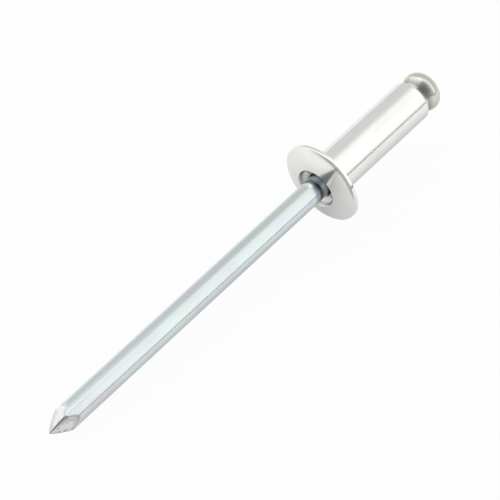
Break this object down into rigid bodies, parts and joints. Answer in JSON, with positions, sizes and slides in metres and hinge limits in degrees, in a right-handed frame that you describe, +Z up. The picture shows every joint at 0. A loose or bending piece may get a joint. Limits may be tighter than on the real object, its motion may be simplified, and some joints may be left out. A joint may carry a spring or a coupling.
{
  "type": "pop rivet",
  "caption": "Open-end blind rivet, unset: a tubular aluminium shank with a low domed flange, threaded on a ball-headed steel mandrel whose long pointed stem a tool pulls to set it.",
  "frame": {"origin": "on the ground under the middle of the rivet's length, as it lies at rest on the flange's rim and the end of the stem", "axes": "+X along the rivet towards the blind end, level with the ground; +Z up; the rivet's own axis leans up from +X by the rest tilt of about 5.2 degrees"},
  "size_m": [0.0394, 0.0064, 0.0064],
  "materials": {
    "body_aluminium": "bright cold-headed aluminium, satin on the domed flange, with faint drawn lines along the shank",
    "mandrel_steel": "zinc-plated drawn steel wire, bluish white, with fine lines along the stem"
  },
  "bodies": {
    "root": {"rivet_body": "body_aluminium", "mandrel": "mandrel_steel"}
  },
  "joints": []
}
